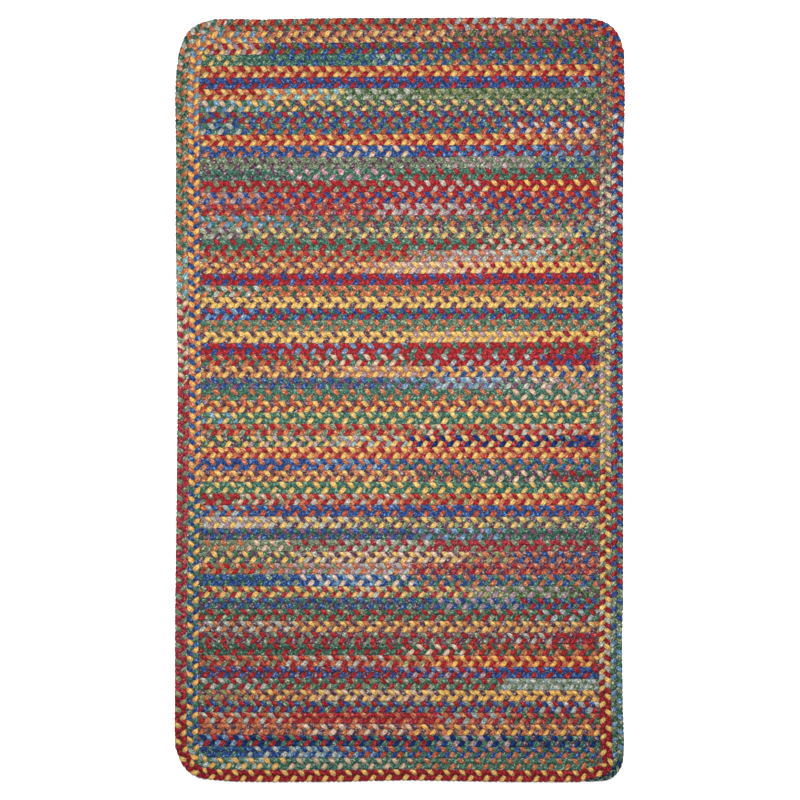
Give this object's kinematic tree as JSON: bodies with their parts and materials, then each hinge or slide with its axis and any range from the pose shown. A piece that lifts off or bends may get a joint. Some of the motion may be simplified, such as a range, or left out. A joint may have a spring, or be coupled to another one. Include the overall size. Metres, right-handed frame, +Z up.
{
  "type": "braided rug",
  "caption": "Flat rectangular rug of multicoloured three-strand braids sewn in straight rows across it, framed by one border braid that runs round twice, with rounded corners",
  "frame": {"origin": "centre of the rug's plan, on the floor that it lies on", "axes": "+Y along the rug's length, towards the first row; +X across it, towards the right ends of the rows; +Z up from the floor"},
  "size_m": [0.718, 1.219, 0.0095],
  "materials": {
    "yarn_red": "matte spun yarn, braided",
    "yarn_orange": "matte spun yarn, braided",
    "yarn_yellow": "matte spun yarn, braided",
    "yarn_blue": "matte spun yarn, braided",
    "yarn_navy": "matte spun yarn, braided",
    "yarn_teal": "matte spun yarn, braided",
    "yarn_sage": "matte spun yarn, braided",
    "yarn_plum": "matte spun yarn, braided"
  },
  "bodies": {
    "root": {"rows_01_02": "yarn_red", "rows_03_04": "yarn_blue", "rows_05_06": "yarn_sage", "rows_07_08": "yarn_blue", "rows_09_10": "yarn_orange", "rows_11_12": "yarn_sage", "rows_13_14": "yarn_red", "rows_15_16": "yarn_teal", "rows_17_18": "yarn_teal", "rows_19_20": "yarn_orange", "rows_21_22": "yarn_red", "rows_23_24": "yarn_yellow", "rows_25_26": "yarn_sage", "rows_27_28": "yarn_red", "rows_29_30": "yarn_orange", "rows_31_32": "yarn_teal", "rows_33_34": "yarn_teal", "rows_35_36": "yarn_orange", "rows_37_38": "yarn_blue", "rows_39_40": "yarn_teal", "rows_41_42": "yarn_blue", "rows_43_44": "yarn_sage", "rows_45_46": "yarn_plum", "rows_47_48": "yarn_blue", "rows_49_50": "yarn_teal", "rows_51_52": "yarn_yellow", "rows_53_54": "yarn_red", "rows_55_56": "yarn_blue", "rows_57_58": "yarn_yellow", "rows_59_60": "yarn_red", "rows_61_62": "yarn_navy", "border_braid": "yarn_red"}
  },
  "joints": []
}
